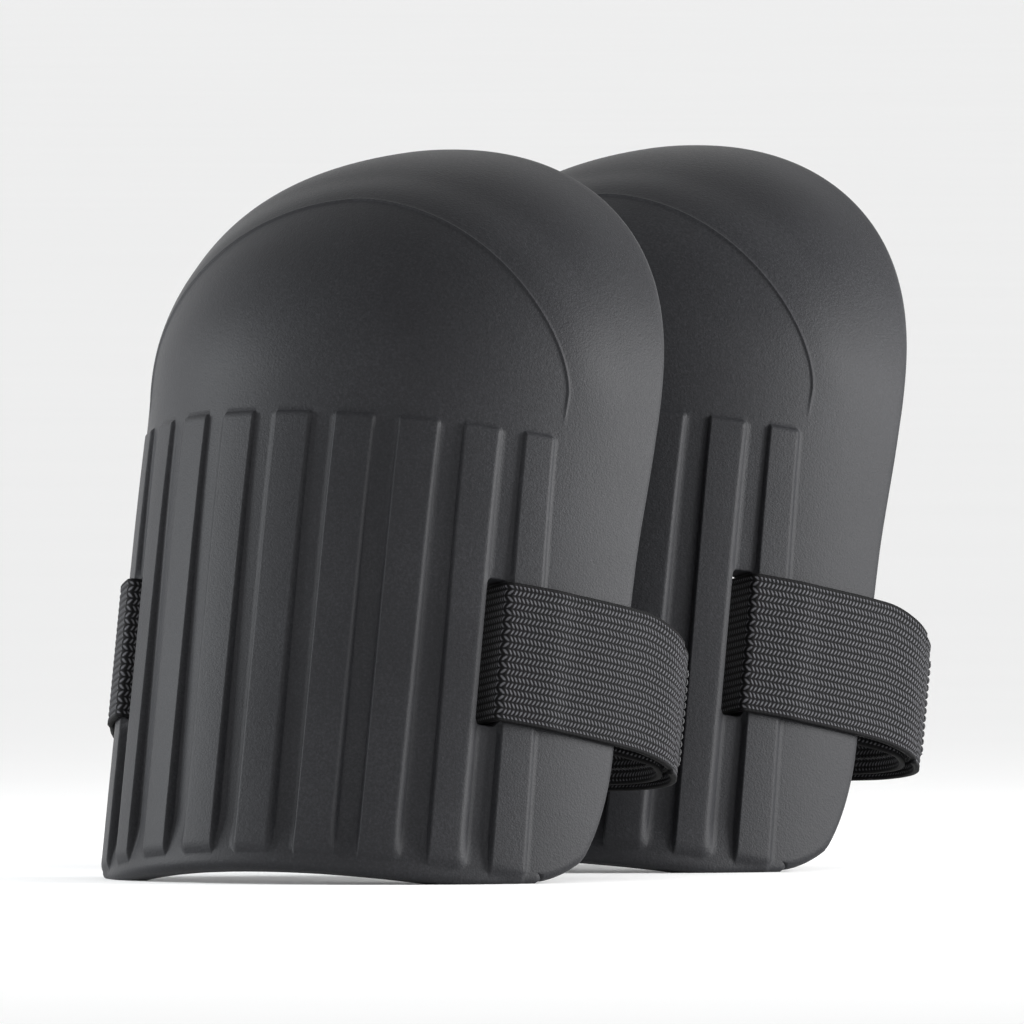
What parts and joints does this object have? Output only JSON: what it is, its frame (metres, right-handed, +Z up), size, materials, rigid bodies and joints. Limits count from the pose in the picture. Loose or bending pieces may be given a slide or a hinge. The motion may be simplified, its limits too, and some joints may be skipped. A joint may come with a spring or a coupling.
{
  "type": "knee pads",
  "caption": "Pair of moulded foam knee pads: hooded, ribbed shells with slotted wings and elastic straps closed by hook-and-loop tabs.",
  "frame": {"origin": "on the floor, under the middle of the pair's bounding box", "axes": "+Z up from the floor, +X across the pads towards the side that closes with hook and loop, +Y from the ribbed kneeling face of the front pad to the rear pad"},
  "size_m": [0.1664, 0.268, 0.1975],
  "materials": {
    "foam": "matte moulded closed-cell EVA foam with a fine grained skin, charcoal black",
    "webbing": "black woven elastic webbing with a fine zig-zag weave and bound edges",
    "hook_tape": "black nylon hook tape",
    "loop_tape": "black napped nylon loop tape",
    "thread": "black polyester sewing thread"
  },
  "bodies": {
    "front_pad": {"front_pad_shell": "foam", "front_pad_strap_loop_right": "webbing", "front_pad_strap_loop_left": "webbing"},
    "front_strap": {"front_pad_strap_band": "webbing", "front_pad_loop_patch": "loop_tape", "front_pad_loop_patch_seam": "thread", "front_pad_strap_fold": "webbing", "front_pad_fold_seam": "thread"},
    "front_tab": {"front_pad_strap_tab": "webbing", "front_pad_hook_patch": "hook_tape", "front_pad_hook_patch_seam": "thread"},
    "rear_pad": {"rear_pad_shell": "foam", "rear_pad_strap_loop_right": "webbing", "rear_pad_strap_loop_left": "webbing"},
    "rear_strap": {"rear_pad_strap_band": "webbing", "rear_pad_loop_patch": "loop_tape", "rear_pad_loop_patch_seam": "thread", "rear_pad_strap_fold": "webbing", "rear_pad_fold_seam": "thread"},
    "rear_tab": {"rear_pad_strap_tab": "webbing", "rear_pad_hook_patch": "hook_tape", "rear_pad_hook_patch_seam": "thread"}
  },
  "joints": [
    {"name": "front_strap_stretch", "type": "slide", "parent": "front_pad", "child": "front_strap", "axis": [0, 0.9787, -0.2055], "range_m": [0, 0.02], "stiffness_N_per_m": 400},
    {"name": "front_tab_peel", "type": "hinge", "parent": "front_strap", "child": "front_tab", "pos_m": [0.07976, -0.03644, 0.05032], "axis": [0, -0.2055, -0.9787], "range_deg": [0, 100]},
    {"name": "rear_strap_stretch", "type": "slide", "parent": "rear_pad", "child": "rear_strap", "axis": [0, 0.9787, -0.2055], "range_m": [0, 0.02], "stiffness_N_per_m": 400},
    {"name": "rear_tab_peel", "type": "hinge", "parent": "rear_strap", "child": "rear_tab", "pos_m": [0.08276, 0.10516, 0.05032], "axis": [0, -0.2055, -0.9787], "range_deg": [0, 100]},
    {"name": "rear_pad_place", "type": "slide", "parent": "front_pad", "child": "rear_pad", "axis": [0, 1, 0], "range_m": [0, 0.15]}
  ]
}
